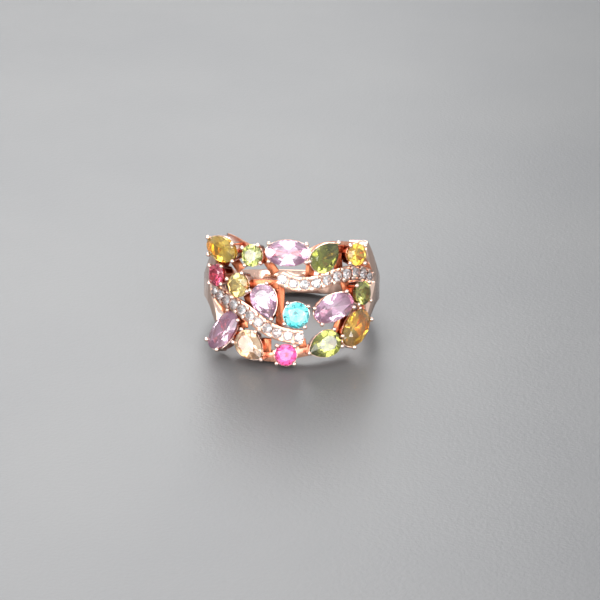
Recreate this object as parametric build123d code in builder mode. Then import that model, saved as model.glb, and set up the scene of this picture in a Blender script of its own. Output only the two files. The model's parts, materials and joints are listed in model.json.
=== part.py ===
from build123d import *
import os
from math import atan2, cos, degrees, hypot, pi, radians, sin

os.makedirs("parts", exist_ok=True)

# A rose gold cocktail ring with an openwork head of coloured stones, lying on its side
# and leaning back on its narrow shank. Sizes in millimetres, angles in degrees.
# On the ring, an angle is measured round the finger from the middle of the head,
# positive to the wearer's right, and a height is measured along the finger.

# The band that goes round the finger
finger_radius = 8.65
shank_radius = 10.35
shank_width = 2.8
lean = 20.05
roll = 1.3

# The head, as radii from the middle of the finger
rail_radius = 9.55
bridge_radius = 9.9
band_radius = 10.6
girdle_radius = 10.95
rail_width = 1.3
band_width = 1.66
bridge_width = 1.0

# Coloured stones: length and width of each cut
small_round = (2.5, 2.5)
middle_round = (2.75, 2.75)
large_round = (3.0, 3.0)
oval_size = (5.0, 3.0)
pear_size = (4.0, 3.0)

# A brilliant's proportions, as shares of the stone's width
table_height = 0.15
girdle_height = 0.015
culet_depth = 0.43

# Rings of facets: how many, their half step, and the two points that each plane passes
# through, as shares of the stone's reach (outwards) and of its width (upwards).
brilliant_facets = (
    (8, 0.0, 1.0, girdle_height, 0.58, table_height),
    (8, 0.5, 0.82, 0.099, 0.536, table_height),
    (16, 0.5, 1.0, girdle_height, 0.8, 0.099),
    (16, 0.5, 1.0, -girdle_height, 0.2, -0.378),
    (8, 0.0, 0.9, -0.042, 0.0, -culet_depth),
)
accent_facets = (
    (8, 0.0, 1.0, girdle_height, 0.6, table_height),
    (8, 0.0, 1.0, -girdle_height, 0.0, -culet_depth),
)

# Claw settings: a tapering cup under the stone and wire prongs with ball tips
cup_rim = 1.03
cup_rim_depth = 0.3
cup_foot = 0.84
cup_foot_depth = 1.95
cup_hollow = 0.8
prong_radius = 0.2
prong_clear = 0.17
prong_foot = 0.9
prong_foot_depth = 1.5
tip_radius = 0.27
tip_height = 0.12

# Accent rows: white stones between small beads
accent_diameter = 1.18
accent_radius = band_radius + 0.12
bead_radius = 0.21
bead_offset = 0.6
bead_lift = 0.1
bead_post = 0.5
row_overhang = 0.085
window_radius = 0.32

# How far cuts reach through the whole ring, and forwards through the head
ring_reach = 30
head_reach = 12

ring = Location((0, 0, 0), (0, roll, 0)) * Location((0, 0, 0), (-lean, 0, 0))
front = Plane(ring * Plane.XZ.location)
side = Plane(ring * Plane(origin=(0, 0, 0), x_dir=(0, -1, 0), z_dir=(-1, 0, 0)).location)


def seat(angle, height, radius=girdle_radius, turn=0, face=0, tip=0):
    """A place on the outside of the ring, its z outwards, its x to the right and its y up.

    It can be turned about its own normal, faced back to the front, and tipped up."""
    around = radians(angle)
    outwards = radians(angle - face)
    spot = Plane(
        origin=(radius * sin(around), -radius * cos(around), height),
        x_dir=(cos(outwards), sin(outwards), 0),
        z_dir=(sin(outwards), -cos(outwards), 0),
    )
    return ring * spot.location * Location((0, 0, 0), (-tip, 0, turn))


def in_front_view(places, radius=rail_radius):
    """Points of the front view for places given as an angle and a height."""
    return [(radius * sin(radians(angle)), height) for angle, height in places]


def ring_wall(inner, outer):
    """A long tube round the finger, used to cut the flat views to the ring's curve."""
    with BuildPart() as wall:
        with BuildSketch(Plane(ring).offset(-ring_reach / 2)):
            Circle(outer)
            Circle(inner, mode=Mode.SUBTRACT)
        extrude(amount=ring_reach)
    return wall.part


with BuildPart() as finger:
    with BuildSketch(Plane(ring).offset(-ring_reach / 2)):
        Circle(finger_radius)
    extrude(amount=ring_reach)

rail_wall = ring_wall(finger_radius, rail_radius)
bridge_wall = ring_wall(finger_radius, bridge_radius)
band_wall = ring_wall(finger_radius, band_radius)
shank_wall = ring_wall(finger_radius, shank_radius)


def tip_angle(length, width):
    """Where the normals of a pear's curved side begin, seen from the middle of its round end."""
    reach = length - width / 2
    return atan2((reach**2 - width**2 / 4) / width, reach)


def draw_outline(length, width, pointed, share=1.0):
    """The girdle outline of a stone in the open sketch, its length along x."""
    if pointed:
        radius = width / 2 * share
        middle = (width - length) / 2 * share
        tip = length / 2 * share
        sag = ((tip - middle) ** 2 - radius**2) / (2 * radius)
        bend = (pi / 2 + tip_angle(length, width)) / 2
        side_x = middle + (radius + sag) * cos(bend)
        side_y = (radius + sag) * sin(bend) - sag
        with BuildLine() as drop:
            ThreePointArc((middle, radius), (middle - radius, 0), (middle, -radius))
            ThreePointArc((middle, -radius), (side_x, -side_y), (tip, 0))
            ThreePointArc((tip, 0), (side_x, side_y), (middle, radius))
        make_face(drop.edges())
    elif length > width:
        Ellipse(length / 2 * share, width / 2 * share)
    else:
        Circle(width / 2 * share)


def outline_side(length, width, pointed, place):
    """The direction and distance of the outline's side at a place from 0 to 1 round it."""
    if pointed:
        tip = tip_angle(length, width)
        direction = tip + (2 * pi - 2 * tip) * place
        sag = ((length - width / 2) ** 2 - width**2 / 4) / width
        forward = cos(direction) > 0
        distance = width / 2 + (sag * (1 - abs(sin(direction))) if forward else 0)
    else:
        direction = atan2(sin(2 * pi * place) / width, cos(2 * pi * place) / length)
        distance = hypot(length / 2 * cos(direction), width / 2 * sin(direction))
    return direction, distance


def cut_stone(length, width, pointed, facets):
    """A faceted stone, table up, with its girdle on the XY plane."""
    middle = (width - length) / 2 if pointed else 0
    with BuildPart() as stone:
        with BuildSketch(Plane.XY.offset(-culet_depth * width)):
            draw_outline(length, width, pointed)
        extrude(amount=(culet_depth + table_height) * width)
        for count, step, low_reach, low_height, high_reach, high_height in facets:
            places = [(index + step) / count for index in range(count + 1)]
            for place in [p for p in places if p < 1 or (pointed and p == 1)]:
                direction, distance = outline_side(length, width, pointed, place)
                rise = abs(high_height - low_height) * width
                run = (low_reach - high_reach) * distance
                upwards = run if high_height > 0 else -run
                start = low_reach * distance
                facet = Plane(
                    origin=(middle + start * cos(direction), start * sin(direction), low_height * width),
                    z_dir=(rise * cos(direction), rise * sin(direction), upwards),
                )
                split(bisect_by=facet, keep=Keep.BOTTOM)
    return stone.part


def prong_line(length, width, pointed, angle):
    """The foot and the tip of a prong, for an angle seen from the stone's middle."""
    around = radians(angle)
    if pointed:
        middle = (width - length) / 2
        reach = width / 2 if angle else length / 2 - middle
        outline = Vector(middle + reach * cos(around), reach * sin(around))
        outwards = Vector(cos(around), sin(around))
    else:
        outline = Vector(length / 2 * cos(around), width / 2 * sin(around))
        outwards = Vector(cos(around) / length, sin(around) / width).normalized()
    foot = outline * prong_foot - Vector(0, 0, prong_foot_depth)
    tip = outline + outwards * prong_clear + Vector(0, 0, tip_height)
    return foot, tip


def make_basket(length, width, pointed, stone, prong_angles):
    """A cup with prongs for one stone, in the stone's own frame."""
    with BuildPart() as basket:
        for share, mode in ((1.0, Mode.ADD), (cup_hollow, Mode.SUBTRACT)):
            with BuildSketch(Plane.XY.offset(-cup_rim_depth)):
                draw_outline(length, width, pointed, cup_rim * share)
            with BuildSketch(Plane.XY.offset(-cup_foot_depth)):
                draw_outline(length, width, pointed, cup_foot * share)
            loft(mode=mode)
        for angle in prong_angles:
            foot, tip = prong_line(length, width, pointed, angle)
            with BuildSketch(Plane(origin=foot, z_dir=tip - foot)):
                Circle(prong_radius)
            extrude(amount=(tip - foot).length)
            with Locations(tip):
                Sphere(tip_radius)
        add(stone, mode=Mode.SUBTRACT)
    return basket.part


def write_piece(name, piece):
    """Label a finished piece, write it to its own file and return it."""
    piece.label = name
    export_step(piece, f"parts/{name}.step")
    return piece


def largest(part):
    """The main solid of a part, without the chips that cutting it to its neighbours leaves."""
    return part.solids().sort_by(SortBy.VOLUME)[-1]


def close(one, other):
    """Whether the boxes round two solids meet."""
    a, b = one.bounding_box(), other.bounding_box()
    return all(low <= high for low, high in zip((*a.min, *b.min), (*b.max, *a.max)))


# Shank: a narrow plain band at the back, which widens at the shoulders and forks there
# into an upper and a lower arm that carry the two rails of the head.
fork = (3.7, 0.8)
arm_end = 5.8
with BuildPart() as shank:
    with BuildSketch(side):
        with BuildLine():
            half = shank_width / 2
            Spline((0.0, half), (3.1, 2.7), (arm_end, 5.7), tangents=((1, 0), (1, 1.0)))
            Polyline((0.0, half), (-head_reach, half), (-head_reach, -half), (0.0, -half))
            Spline((0.0, -half), (3.6, -2.1), (arm_end, -4.8), tangents=((1, 0), (1, -1.4)))
            Polyline((arm_end, 5.7), (arm_end, 4.2), fork, (arm_end, -3.2), (arm_end, -4.8))
        make_face()
    extrude(amount=head_reach, both=True)
    add(shank_wall, mode=Mode.INTERSECT)
structure = [write_piece("shank", shank.part)]

# Rails: two curved strips along the finger side of the head, from arm to arm. The
# settings stand on them.
upper_line = [(-62, 5.6), (-50, 5.3), (-34, 4.4), (-20, 3.9), (-4, 3.9)]
upper_line += [(9, 3.8), (20, 4.6), (36, 4.9), (50, 4.8), (62, 4.7)]
lower_line = [(-58, -2.9), (-50, -4.4), (-40, -6.0), (-28, -7.2), (-16, -7.62)]
lower_line += [(-5, -7.5), (8, -7.0), (20, -6.7), (38, -5.8), (50, -4.4), (58, -2.9)]
head_back = front.offset(arm_end)
band_back = front.offset(fork[0])
for name, places in {"upper_rail": upper_line, "lower_rail": lower_line}.items():
    with BuildPart() as rail:
        with BuildSketch(front):
            with BuildLine():
                Spline(*in_front_view(places, (finger_radius + rail_radius) / 2))
            trace(line_width=rail_width)
        extrude(amount=head_reach)
        add(rail_wall, mode=Mode.INTERSECT)
        split(bisect_by=head_back, keep=Keep.TOP)
    structure.append(write_piece(name, rail.part))

# Accent rows: each is a narrow band with small white stones let into it, a bead on both
# sides of every gap, and a round window under every stone. A path is given unrolled,
# as angles and heights, and its stones are evenly spaced along it.
accent_rows = {
    "upper": (10, ((-6, 1.25), (7, 0.65), (20, 1.1), (34, 1.85), (44, 2.0), (56.4, 1.4))),
    "lower": (11, ((-57, -0.4), (-42, -1.6), (-27, -2.95), (-15, -4.4), (-3, -5.15), (4.7, -5.35))),
}
degree = radians(band_radius)
accent_stone = cut_stone(accent_diameter, accent_diameter, False, accent_facets)
for row, (count, places) in accent_rows.items():
    path = Spline(*[(angle * degree, height) for angle, height in places])
    spots = [path @ (index / (count - 1)) for index in range(count)]
    seats = [seat(spot.X / degree, spot.Y, accent_radius) for spot in spots]
    ends = [path @ -row_overhang, *spots, path @ (1 + row_overhang)]
    bead_places = []
    for here, there in zip(ends, ends[1:]):
        middle = (here + there) / 2
        slope = degrees(atan2(there.Y - here.Y, there.X - here.X))
        between = seat(middle.X / degree, middle.Y, band_radius, turn=slope)
        bead_places.extend([between * Pos(0, y, bead_lift) for y in (bead_offset, -bead_offset)])
    with BuildPart() as stones:
        with Locations(*seats):
            add(accent_stone)
    with BuildPart() as band:
        with BuildSketch(front):
            with BuildLine():
                Spline(*in_front_view([(spot.X / degree, spot.Y) for spot in ends], band_radius))
            trace(line_width=band_width)
        extrude(amount=head_reach)
        add(band_wall, mode=Mode.INTERSECT)
        split(bisect_by=band_back, keep=Keep.TOP)
        add(shank.part, mode=Mode.SUBTRACT)
        with Locations(*bead_places):
            Cylinder(bead_radius, bead_post)
            Sphere(bead_radius)
        with Locations(*seats):
            Cylinder(window_radius, head_reach / 2, mode=Mode.SUBTRACT)
        add(stones.part, mode=Mode.SUBTRACT)
    structure.append(write_piece(f"accent_band_{row}", band.part))
    write_piece(f"accent_stones_{row}", stones.part)

# Bridges: short flat bars, set back below the stones, that tie the settings and the
# accent rows together. Each runs between two places given as an angle and a height.
bridges = {
    "bridge_left_upper": ((-43, 3.2), (-36, 2.0)),
    "bridge_left_middle": ((-30, 0.55), (-9, 0.6)),
    "bridge_left_lower": ((-31, -0.6), (-27, -2.6)),
    "bridge_centre_left": ((-8, 1.2), (-7.4, -4.6)),
    "bridge_top_left": ((-20, 3.9), (-11, 1.8)),
    "bridge_top_right": ((12, 3.2), (11, 1.0)),
    "bridge_right_top": ((31, 4.2), (32, 2.2)),
    "bridge_right_upper": ((36, 1.4), (40, -0.6)),
    "bridge_right_lower": ((36, -2.6), (30, -5.4)),
    "bridge_bottom_left": ((-35, -2.2), (-33, -4.6)),
    "bridge_bottom_middle": ((-16, -5.6), (-16, -7.2)),
    "bridge_bottom_right": ((5, -6.2), (10, -6.0)),
}
for name, places in bridges.items():
    with BuildPart() as bridge:
        with BuildSketch(front):
            with BuildLine():
                Line(*in_front_view(places, bridge_radius))
            trace(line_width=bridge_width)
        extrude(amount=head_reach)
        add(bridge_wall, mode=Mode.INTERSECT)
        for neighbour in structure:
            if close(bridge.part, neighbour):
                add(neighbour, mode=Mode.SUBTRACT)
    structure.append(write_piece(name, largest(bridge.part)))

# Coloured stones, each held in a cup by prongs whose foot is cut off flush with the
# inside of the ring. Every line gives the cut, the place on the ring, how the stone is
# turned, faced and tipped, and where its prongs stand.
square_prongs = (45, 135, 225, 315)
oval_prongs = (36, 144, 216, 324)
pear_prongs = (0, 140, 220)
gems = {
    "yellow_top_left": (oval_size, -48.8, 4.35, dict(turn=-8, tip=-10), oval_prongs),
    "olive_top": (small_round, -25.2, 3.8, dict(turn=10), square_prongs),
    "pink_top": (oval_size, -3.1, 4.2, dict(turn=0), oval_prongs),
    "green_top": (pear_size, 20, 3.85, dict(turn=47), pear_prongs),
    "yellow_top_right": (small_round, 42, 4.1, dict(face=12), square_prongs),
    "ruby_left": (small_round, -53, 1.35, dict(face=-8), square_prongs),
    "lemon_left": (middle_round, -34.5, 0.35, dict(turn=20), square_prongs),
    "green_right": (middle_round, 48, -0.35, dict(turn=10), square_prongs),
    "pink_centre": (pear_size, -16.5, -1.35, dict(turn=-66), pear_prongs),
    "aqua_centre": (large_round, 2.7, -2.8, dict(turn=-8), square_prongs),
    "pink_right": (oval_size, 26, -1.95, dict(turn=27, face=8), oval_prongs),
    "pink_bottom_left": (oval_size, -45.5, -4.9, dict(turn=57, face=-10, tip=14), oval_prongs),
    "peach_bottom": (pear_size, -25.5, -6.5, dict(turn=-42, tip=6), (0, 94, 157, 222)),
    "magenta_bottom": (small_round, -3.0, -7.33, dict(tip=4), square_prongs),
    "green_bottom": (pear_size, 20.6, -6.15, dict(turn=206, tip=6), pear_prongs),
    "amber_bottom_right": (oval_size, 43, -4.3, dict(turn=48, face=8, tip=12), oval_prongs),
}
cut_gems = {}
settings = []
for name, (size, angle, height, pose, prongs) in gems.items():
    pointed = size == pear_size
    if size not in cut_gems:
        cut_gems[size] = cut_stone(*size, pointed, brilliant_facets)
    basket = make_basket(*size, pointed, cut_gems[size], prongs)
    place = seat(angle, height, girdle_radius, **pose)
    with BuildPart() as stone:
        with Locations(place):
            add(cut_gems[size])
    with BuildPart() as setting:
        with Locations(place):
            add(basket)
        add(finger.part, mode=Mode.SUBTRACT)
        for neighbour in [*structure, *settings]:
            if close(setting.part, neighbour):
                add(neighbour, mode=Mode.SUBTRACT)
    settings.append(write_piece(f"setting_{name}", largest(setting.part)))
    write_piece(f"stone_{name}", stone.part)
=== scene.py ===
import json
import math

import bpy
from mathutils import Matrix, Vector


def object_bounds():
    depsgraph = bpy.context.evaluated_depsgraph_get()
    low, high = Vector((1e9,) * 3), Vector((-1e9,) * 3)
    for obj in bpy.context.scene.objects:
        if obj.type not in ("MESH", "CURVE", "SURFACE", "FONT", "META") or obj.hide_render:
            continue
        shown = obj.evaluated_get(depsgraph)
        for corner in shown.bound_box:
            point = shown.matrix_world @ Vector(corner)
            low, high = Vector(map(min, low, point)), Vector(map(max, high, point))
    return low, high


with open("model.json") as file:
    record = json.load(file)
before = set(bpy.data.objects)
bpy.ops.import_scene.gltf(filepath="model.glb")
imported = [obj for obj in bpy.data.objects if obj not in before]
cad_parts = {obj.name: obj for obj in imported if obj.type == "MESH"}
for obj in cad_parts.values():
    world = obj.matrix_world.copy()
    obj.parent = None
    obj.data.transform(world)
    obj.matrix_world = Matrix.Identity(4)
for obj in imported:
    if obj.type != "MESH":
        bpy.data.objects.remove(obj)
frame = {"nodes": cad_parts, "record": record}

cad_box = [list(corner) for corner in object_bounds()]
nodes = frame["nodes"]
finger_axis = Vector(frame["record"]["mounts"][0]["axis"]).normalized()
millimetre = 0.001

# Shank and shoulders: cast rose gold, polished all over on a felt wheel. Wear leaves hair
# scratches in the polish. The gold is painted darker and redder towards the finger axis, as
# painted shade in the recesses.


def add_node(tree, kind, inputs=None, **settings):
    """A node of a shader tree, its inputs set to values or linked to sockets."""
    node = tree.nodes.new(kind)
    for name, value in settings.items():
        setattr(node, name, value)
    for name, value in (inputs or {}).items():
        if isinstance(value, bpy.types.NodeSocket):
            tree.links.new(value, node.inputs[name])
        else:
            node.inputs[name].default_value = value
    return node


def mix_colours(tree, factor, low, high):
    """The colour output of a mix from a low colour to a high one, each a value or a socket."""
    mix = tree.nodes.new("ShaderNodeMix")
    mix.data_type = "RGBA"
    by_identifier = {socket.identifier: socket for socket in mix.inputs}
    tree.links.new(factor, by_identifier["Factor_Float"])
    for identifier, value in (("A_Color", low), ("B_Color", high)):
        if isinstance(value, bpy.types.NodeSocket):
            tree.links.new(value, by_identifier[identifier])
        else:
            by_identifier[identifier].default_value = value
    return next(socket for socket in mix.outputs if socket.identifier == "Result_Color")


def new_group(name, inputs, outputs):
    """An empty shader group with named sockets, and its input and output nodes."""
    group = bpy.data.node_groups.new(name, "ShaderNodeTree")
    for label, value in inputs.items():
        kind = "NodeSocketFloat" if isinstance(value, float) else "NodeSocketColor"
        socket = group.interface.new_socket(label, in_out="INPUT", socket_type=kind)
        socket.default_value = value
    for label, kind in outputs.items():
        group.interface.new_socket(label, in_out="OUTPUT", socket_type=kind)
    return group, group.nodes.new("NodeGroupInput"), group.nodes.new("NodeGroupOutput")


surface_outputs = {
    "Color": "NodeSocketColor",
    "Roughness": "NodeSocketFloat",
    "Normal": "NodeSocketVector",
}
gold_inputs = {
    "Bright": (1.0, 0.74, 0.62, 1),
    "Shaded": (0.8, 0.3, 0.16, 1),
    "Shaded Radius": 0.0088,
    "Bright Radius": 0.0106,
    "Roughness": 0.14,
    "Scratch Depth": 0.06,
}
# Rose gold surface: polish scratches in roughness and bumps, and painted shade in the colour.
gold_polish_and_shade, into, out_of = new_group("rose gold polish and painted shade", gold_inputs, surface_outputs)
place = add_node(gold_polish_and_shade, "ShaderNodeTexCoord").outputs["Object"]
along = add_node(
    gold_polish_and_shade,
    "ShaderNodeVectorMath",
    {0: place, 1: finger_axis},
    operation="PROJECT",
)
outwards = add_node(
    gold_polish_and_shade,
    "ShaderNodeVectorMath",
    {0: place, 1: along.outputs["Vector"]},
    operation="SUBTRACT",
)
radius = add_node(
    gold_polish_and_shade,
    "ShaderNodeVectorMath",
    {0: outwards.outputs["Vector"]},
    operation="LENGTH",
)
# Painted shade: the gold runs from the shaded colour near the finger axis to the unshaded colour further
# out. Random blotches of tone are added to this mix.
painted_recess_shade = add_node(
    gold_polish_and_shade,
    "ShaderNodeMapRange",
    {
        "Value": radius.outputs["Value"],
        "From Min": into.outputs["Shaded Radius"],
        "From Max": into.outputs["Bright Radius"],
    },
    interpolation_type="SMOOTHSTEP",
)
stain = add_node(gold_polish_and_shade, "ShaderNodeTexNoise", {"Vector": place, "Scale": 700.0, "Detail": 4.0})
blotch = add_node(
    gold_polish_and_shade, "ShaderNodeMath", {0: stain.outputs["Fac"], 1: 0.5, 2: -0.25}, operation="MULTIPLY_ADD"
)
shade_and_blotch = add_node(
    gold_polish_and_shade,
    "ShaderNodeMath",
    {0: painted_recess_shade.outputs["Result"], 1: blotch.outputs["Value"]},
    operation="ADD",
    use_clamp=True,
)
# The gold colour with painted shade towards the finger axis.
gold_with_painted_shade = mix_colours(
    gold_polish_and_shade, shade_and_blotch.outputs["Value"], into.outputs["Shaded"], into.outputs["Bright"]
)
stretched = add_node(
    gold_polish_and_shade,
    "ShaderNodeMapping",
    {"Vector": place, "Scale": (9000.0, 1400.0, 2600.0), "Rotation": (0.4, 0.9, 0.3)},
)
scratches = add_node(
    gold_polish_and_shade,
    "ShaderNodeTexNoise",
    {"Vector": stretched.outputs["Vector"], "Scale": 1.0, "Detail": 3.0},
)
dulled = add_node(
    gold_polish_and_shade,
    "ShaderNodeMapRange",
    {"Value": scratches.outputs["Fac"], "From Min": 0.35, "From Max": 0.75, "To Min": -0.05, "To Max": 0.1},
)
roughness = add_node(
    gold_polish_and_shade,
    "ShaderNodeMath",
    {0: into.outputs["Roughness"], 1: dulled.outputs["Result"]},
    operation="ADD",
    use_clamp=True,
)
dents = add_node(
    gold_polish_and_shade,
    "ShaderNodeBump",
    {
        "Strength": into.outputs["Scratch Depth"],
        "Distance": 0.05 * millimetre,
        "Height": scratches.outputs["Fac"],
    },
)
gold_polish_and_shade.links.new(gold_with_painted_shade, out_of.inputs["Color"])
gold_polish_and_shade.links.new(roughness.outputs["Value"], out_of.inputs["Roughness"])
gold_polish_and_shade.links.new(dents.outputs["Normal"], out_of.inputs["Normal"])


def finish_material(name, group, values, **shader):
    """A material whose colour, roughness and normal come from a surface group."""
    material = bpy.data.materials.new(name)
    material.use_nodes = True
    tree = material.node_tree
    surface = add_node(tree, "ShaderNodeGroup", node_tree=group)
    for label, value in values.items():
        surface.inputs[label].default_value = value
    principled = tree.nodes["Principled BSDF"]
    tree.links.new(surface.outputs["Color"], principled.inputs["Base Color"])
    tree.links.new(surface.outputs["Roughness"], principled.inputs["Roughness"])
    tree.links.new(surface.outputs["Normal"], principled.inputs["Normal"])
    for label, value in shader.items():
        principled.inputs[label.replace("_", " ")].default_value = value
    return material


def soften_edges(piece, width, angle=35):
    """A polished edge on a sharp-edged metal piece, and smooth shading on its curves."""
    weld = piece.modifiers.new("joined faces", "WELD")
    weld.merge_threshold = 0.001 * millimetre
    bevel = piece.modifiers.new("polished edge", "BEVEL")
    bevel.width = width
    bevel.segments = 2
    bevel.limit_method = "ANGLE"
    bevel.angle_limit = math.radians(angle)
    bevel.harden_normals = True
    piece.data.shade_smooth()


def dress(piece, material):
    """Give a piece its one material."""
    piece.data.materials.clear()
    piece.data.materials.append(material)


# Painted shade: the shank's gold turns darker and redder near the finger axis.
shank_gold = finish_material(
    "shank rose gold",
    gold_polish_and_shade,
    {
        "Bright": (0.92, 0.67, 0.55, 1),
        "Shaded": (0.78, 0.5, 0.39, 1),
        "Shaded Radius": 0.0084,
        "Bright Radius": 0.0102,
    },
    Metallic=1.0,
)
dress(nodes["shank"], shank_gold)
soften_edges(nodes["shank"], 0.12 * millimetre)

# Rails: strips of the same gold on the finger side of the head, soldered to the arms. They
# lie deep under the stones, and their gold is painted darker and redder as the shade there.
rail_gold = finish_material(
    "rail rose gold",
    gold_polish_and_shade,
    {
        "Bright": (0.74, 0.38, 0.26, 1),
        "Shaded": (0.44, 0.12, 0.055, 1),
        "Shaded Radius": 0.0086,
        "Bright Radius": 0.0098,
        "Roughness": 0.22,
    },
    Metallic=1.0,
)
for name in ("upper_rail", "lower_rail"):
    dress(nodes[name], rail_gold)
    soften_edges(nodes[name], 0.12 * millimetre)

# Bridges: flat bars sawn from sheet and soldered in between the settings, set back below
# the stones and hardly polished. Their gold is painted dark red as the shade between them.
bridge_gold = finish_material(
    "bridge rose gold",
    gold_polish_and_shade,
    {
        "Bright": (0.5, 0.17, 0.085, 1),
        "Shaded": (0.3, 0.07, 0.03, 1),
        "Roughness": 0.28,
        "Scratch Depth": 0.15,
    },
    Metallic=1.0,
)
for name, node in nodes.items():
    if name.startswith("bridge_"):
        dress(node, bridge_gold)
        soften_edges(node, 0.08 * millimetre)

# Accent bands: narrow strips with small beads raised from their own metal, brightly
# polished so that they sparkle with the white stones. Their gold is painted darker and
# redder towards the finger axis, as shade.
band_gold = finish_material(
    "accent band rose gold",
    gold_polish_and_shade,
    {
        "Bright": (0.98, 0.74, 0.62, 1),
        "Shaded": (0.56, 0.24, 0.14, 1),
        "Shaded Radius": 0.0104,
        "Bright Radius": 0.01095,
        "Roughness": 0.15,
    },
    Metallic=1.0,
)
for name in ("accent_band_upper", "accent_band_lower"):
    dress(nodes[name], band_gold)
    soften_edges(nodes[name], 0.04 * millimetre)

# Settings: cups with wire prongs whose ends are rounded with a cup burr. Their rims and
# balls keep the bright gold, and their walls, nearer the finger axis, are painted darker
# and redder as shade.
setting_gold = finish_material(
    "setting rose gold",
    gold_polish_and_shade,
    {
        "Bright": (1.0, 0.79, 0.68, 1),
        "Shaded": (0.55, 0.17, 0.08, 1),
        "Shaded Radius": 0.0099,
        "Bright Radius": 0.0111,
    },
    Metallic=1.0,
)
for name, node in nodes.items():
    if name.startswith("setting_"):
        dress(node, setting_gold)
        soften_edges(node, 0.03 * millimetre, 50)

# Stones: faceted sapphires, peridots and their like. Each has clear growth zones of
# lighter and deeper colour and a few fine silky veils, under a hard bright polish.
stone_inputs = {
    "Light": (0.9, 0.7, 0.2, 1),
    "Body": (0.7, 0.4, 0.05, 1),
    "Zone Scale": 620.0,
    "Silk": 0.05,
}
stone_zones, into, out_of = new_group("stone colour zones", stone_inputs, surface_outputs)
place = add_node(stone_zones, "ShaderNodeTexCoord").outputs["Object"]
growth = add_node(
    stone_zones, "ShaderNodeTexNoise", {"Vector": place, "Scale": into.outputs["Zone Scale"], "Detail": 2.0}
)
zone = add_node(
    stone_zones,
    "ShaderNodeMapRange",
    {"Value": growth.outputs["Fac"], "From Min": 0.35, "From Max": 0.65},
    interpolation_type="SMOOTHSTEP",
)
tint = mix_colours(
    stone_zones, zone.outputs["Result"], into.outputs["Body"], into.outputs["Light"]
)
veils = add_node(stone_zones, "ShaderNodeTexNoise", {"Vector": place, "Scale": 5200.0, "Detail": 3.0})
silk = add_node(
    stone_zones,
    "ShaderNodeMapRange",
    {
        "Value": veils.outputs["Fac"],
        "From Min": 0.55,
        "From Max": 0.8,
        "To Max": into.outputs["Silk"],
    },
)
ripple = add_node(
    stone_zones,
    "ShaderNodeBump",
    {"Strength": 0.03, "Distance": 0.02 * millimetre, "Height": veils.outputs["Fac"]},
)
stone_zones.links.new(tint, out_of.inputs["Color"])
stone_zones.links.new(silk.outputs["Result"], out_of.inputs["Roughness"])
stone_zones.links.new(ripple.outputs["Normal"], out_of.inputs["Normal"])

stone_colours = {
    "yellow": ((1.0, 0.8, 0.18, 1), (1.0, 0.58, 0.04, 1)),
    "amber": ((1.0, 0.76, 0.2, 1), (1.0, 0.52, 0.03, 1)),
    "lemon": ((1.0, 0.82, 0.32, 1), (0.98, 0.66, 0.15, 1)),
    "olive": ((0.84, 0.88, 0.34, 1), (0.48, 0.53, 0.11, 1)),
    "green": ((0.58, 0.58, 0.16, 1), (0.28, 0.3, 0.04, 1)),
    "pink": ((1.0, 0.78, 0.91, 1), (0.98, 0.54, 0.78, 1)),
    "ruby": ((0.95, 0.22, 0.34, 1), (0.78, 0.05, 0.13, 1)),
    "magenta": ((0.86, 0.1, 0.32, 1), (0.55, 0.012, 0.12, 1)),
    "aqua": ((0.26, 0.8, 0.82, 1), (0.05, 0.48, 0.52, 1)),
    "peach": ((1.0, 0.77, 0.54, 1), (1.0, 0.56, 0.28, 1)),
    "white": ((1.0, 1.0, 1.0, 1), (0.95, 0.97, 1.0, 1)),
}
sapphire_index = 1.76
stone_materials = {}
for colour, (light, body) in stone_colours.items():
    clear = 0.88 if colour == "white" else 0.9
    stone_materials[colour] = finish_material(
        f"{colour} stone",
        stone_zones,
        {"Light": light, "Body": body},
        Transmission_Weight=clear,
        IOR=sapphire_index,
    )
for name, node in nodes.items():
    if name.startswith(("stone_", "accent_stones_")):
        colour = name.split("_")[1] if name.startswith("stone_") else "white"
        dress(node, stone_materials[colour])
        node.data.shade_flat()

# Floor: a wide sheet of pale grey board with a fine tooth, swept level, on which the ring
# lies.
floor_height = cad_box[0][2]
floor_reach = 0.9
floor_mesh = bpy.data.meshes.new("floor")
signs = [(-1, -1), (1, -1), (1, 1), (-1, 1)]
corners = [(x * floor_reach, y * floor_reach, floor_height) for x, y in signs]
floor_mesh.from_pydata(corners, [], [(0, 1, 2, 3)])
floor = bpy.data.objects.new("floor", floor_mesh)
bpy.context.scene.collection.objects.link(floor)
board = bpy.data.materials.new("pale board")
board.use_nodes = True
tree = board.node_tree
place = add_node(tree, "ShaderNodeTexCoord").outputs["Object"]
cloud = add_node(tree, "ShaderNodeTexNoise", {"Vector": place, "Scale": 28.0, "Detail": 3.0})
tooth = add_node(tree, "ShaderNodeTexNoise", {"Vector": place, "Scale": 2600.0, "Detail": 2.0})
shade = add_node(
    tree, "ShaderNodeMapRange", {"Value": cloud.outputs["Fac"], "From Min": 0.3, "From Max": 0.7}
)
grey = mix_colours(
    tree, shade.outputs["Result"], (0.13, 0.13, 0.132, 1), (0.148, 0.147, 0.146, 1)
)
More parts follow.
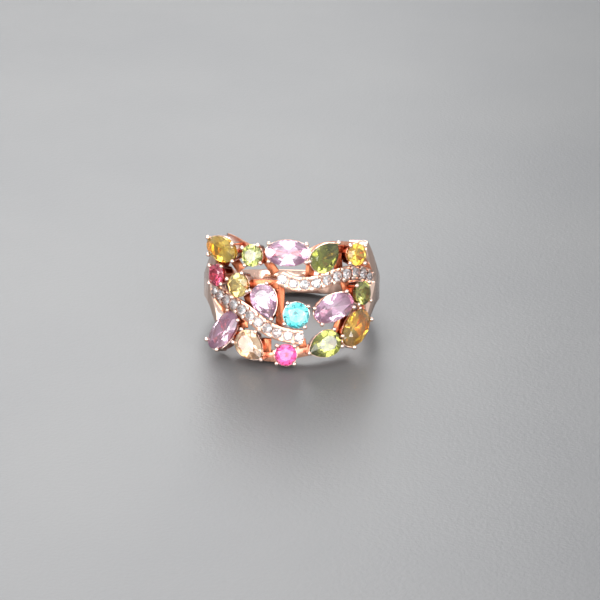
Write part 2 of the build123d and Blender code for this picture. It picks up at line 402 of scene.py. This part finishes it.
grain = add_node(
    tree,
    "ShaderNodeBump",
    {"Strength": 0.25, "Distance": 0.1 * millimetre, "Height": tooth.outputs["Fac"]},
)
principled = tree.nodes["Principled BSDF"]
tree.links.new(grey, principled.inputs["Base Color"])
tree.links.new(grain.outputs["Normal"], principled.inputs["Normal"])
principled.inputs["Roughness"].default_value = 0.42
dress(floor, board)

# Light: a broad soft box behind the ring, a small weak one overhead, and one each at the
# front, the front left and the front right, in a pale room.


def soft_box(name, place, size, power):
    """A square area light that faces the middle of the ring."""
    lamp = bpy.data.lights.new(name, "AREA")
    lamp.size = size
    lamp.energy = power
    holder = bpy.data.objects.new(name, lamp)
    bpy.context.scene.collection.objects.link(holder)
    holder.location = place
    holder.rotation_euler = (-Vector(place)).to_track_quat("-Z", "Y").to_euler()


soft_box("back", (-0.1, 0.45, 0.36), 0.4, 2.3)
soft_box("overhead", (-0.1, 0.02, 0.5), 0.26, 0.4)
soft_box("front", (0.0, -0.48, 0.21), 0.3, 0.95)
soft_box("front left", (-0.36, -0.34, 0.22), 0.26, 1.5)
soft_box("front right", (0.34, -0.36, 0.24), 0.24, 1.2)
world = bpy.data.worlds.new("pale room")
world.use_nodes = True
background = world.node_tree.nodes["Background"]
background.inputs["Color"].default_value = (0.9, 0.92, 0.95, 1)
background.inputs["Strength"].default_value = 0.85
bpy.context.scene.world = world
bpy.context.scene.view_settings.view_transform = "Standard"

# Camera: a long lens a little above the table, level with the ring's face.
elevation = math.radians(23.5)
camera_distance = 0.26
view_width = 0.0707
backwards = Vector((0, -math.cos(elevation), math.sin(elevation)))
upwards = Vector((0, math.sin(elevation), math.cos(elevation)))
aim = Vector((0.97 * millimetre, 0, 0)) - 1.75 * millimetre * upwards
sensor_width = 36
lens = bpy.data.cameras.new("camera")
lens.sensor_width = sensor_width
lens.lens = sensor_width * camera_distance / view_width
lens.clip_start = 0.01
camera = bpy.data.objects.new("camera", lens)
bpy.context.scene.collection.objects.link(camera)
camera.location = aim + camera_distance * backwards
camera.rotation_euler = (-backwards).to_track_quat("-Z", "Y").to_euler()
bpy.context.scene.camera = camera
